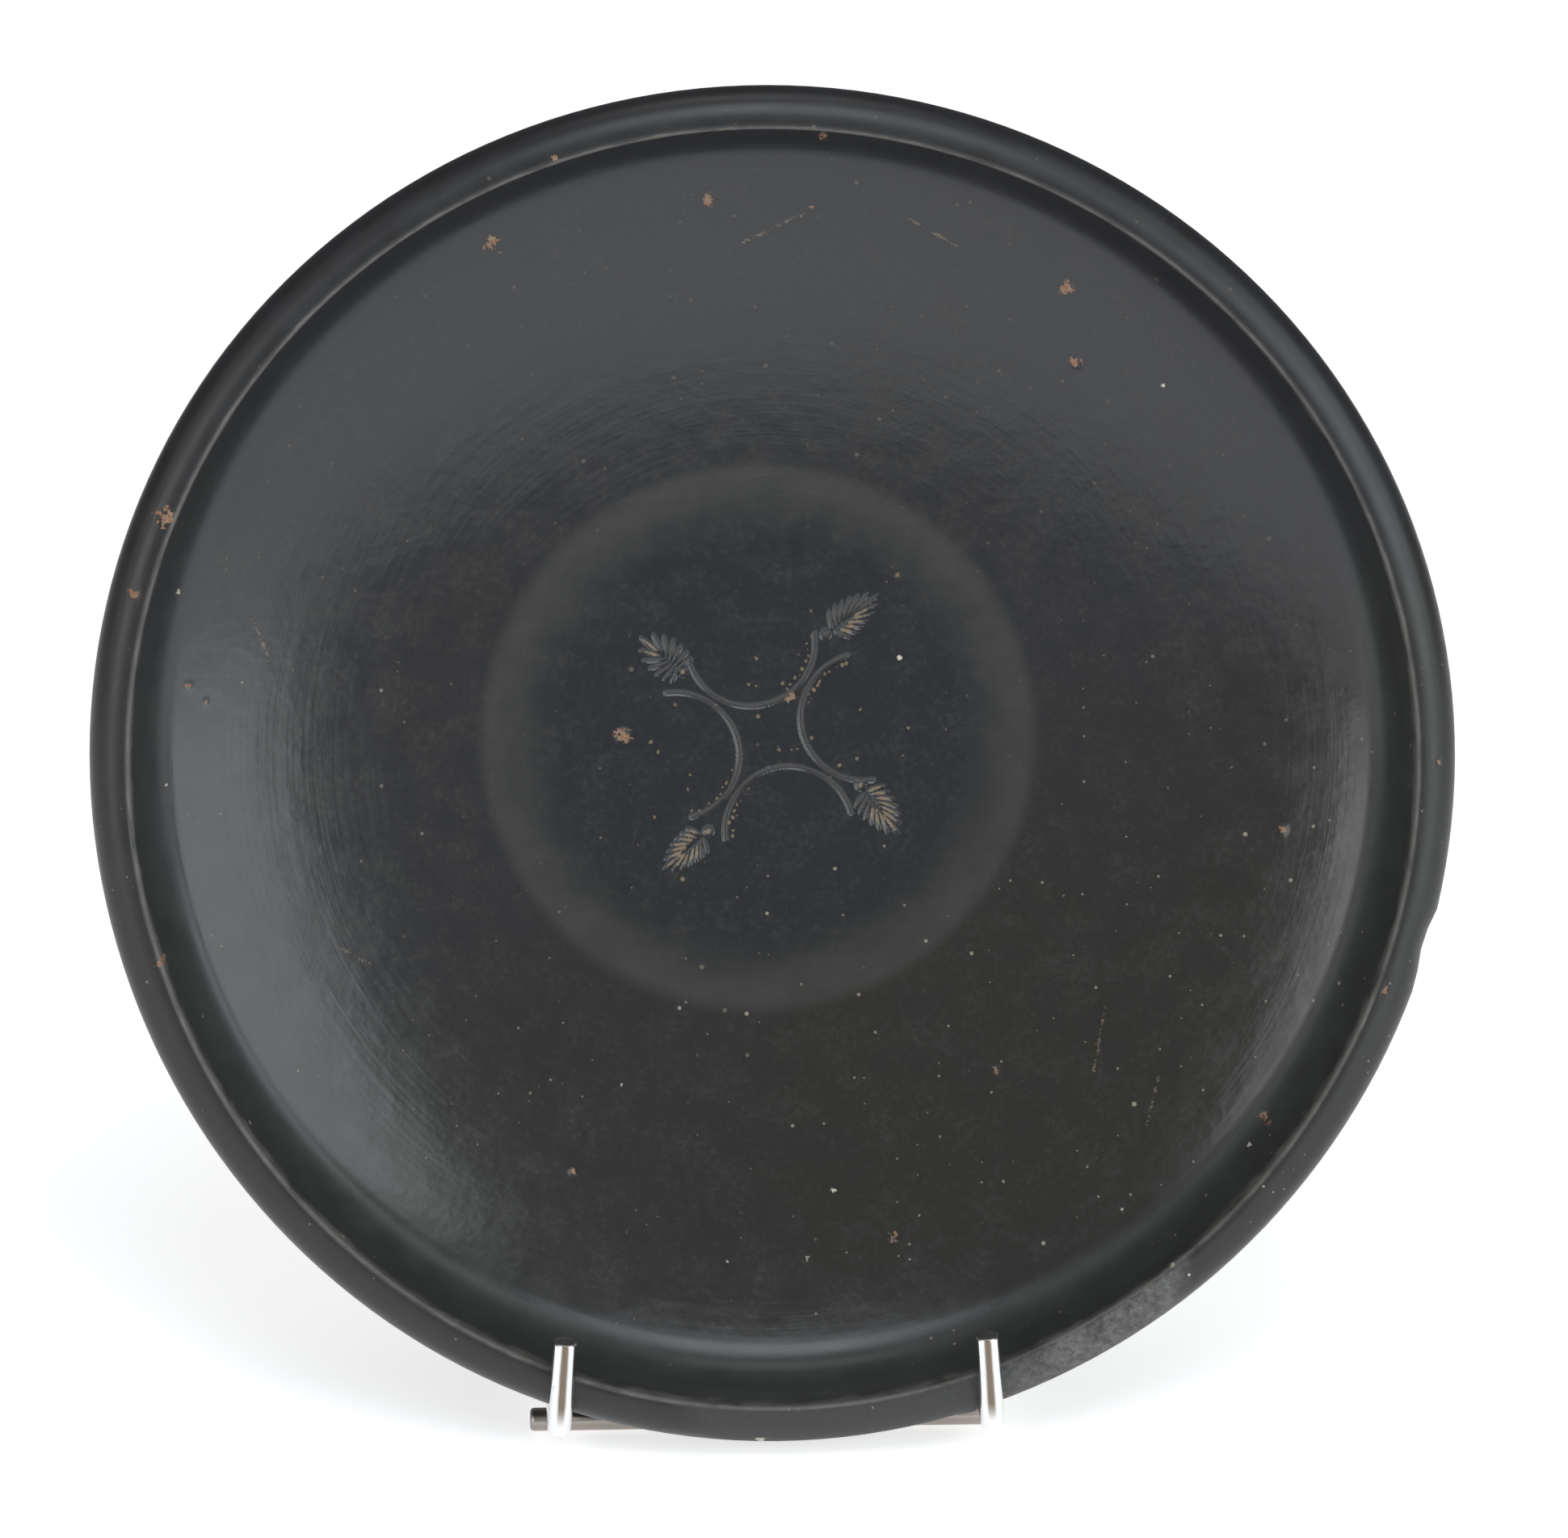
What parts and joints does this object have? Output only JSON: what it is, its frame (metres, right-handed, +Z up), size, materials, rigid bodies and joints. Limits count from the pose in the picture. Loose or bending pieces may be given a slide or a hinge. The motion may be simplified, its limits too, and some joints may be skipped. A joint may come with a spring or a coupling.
{
  "type": "plate",
  "caption": "Shallow black-glazed plate with a rolled rim, ring foot and stamped palmettes joined by arcs, leaning back in a chromed wire stand that displays it.",
  "frame": {"origin": "on the table, under the middle of the whole object's box", "axes": "+Z up, the plate faces -Y and leans back towards +Y"},
  "size_m": [0.2292, 0.1496, 0.2281],
  "materials": {
    "black_glaze": "worn satin black gloss over reddish clay",
    "chrome": "polished"
  },
  "bodies": {
    "root": {"plate": "black_glaze", "stand_left_wire": "chrome", "stand_right_wire": "chrome", "stand_front_rod": "chrome", "stand_rear_rod": "chrome"}
  },
  "joints": []
}
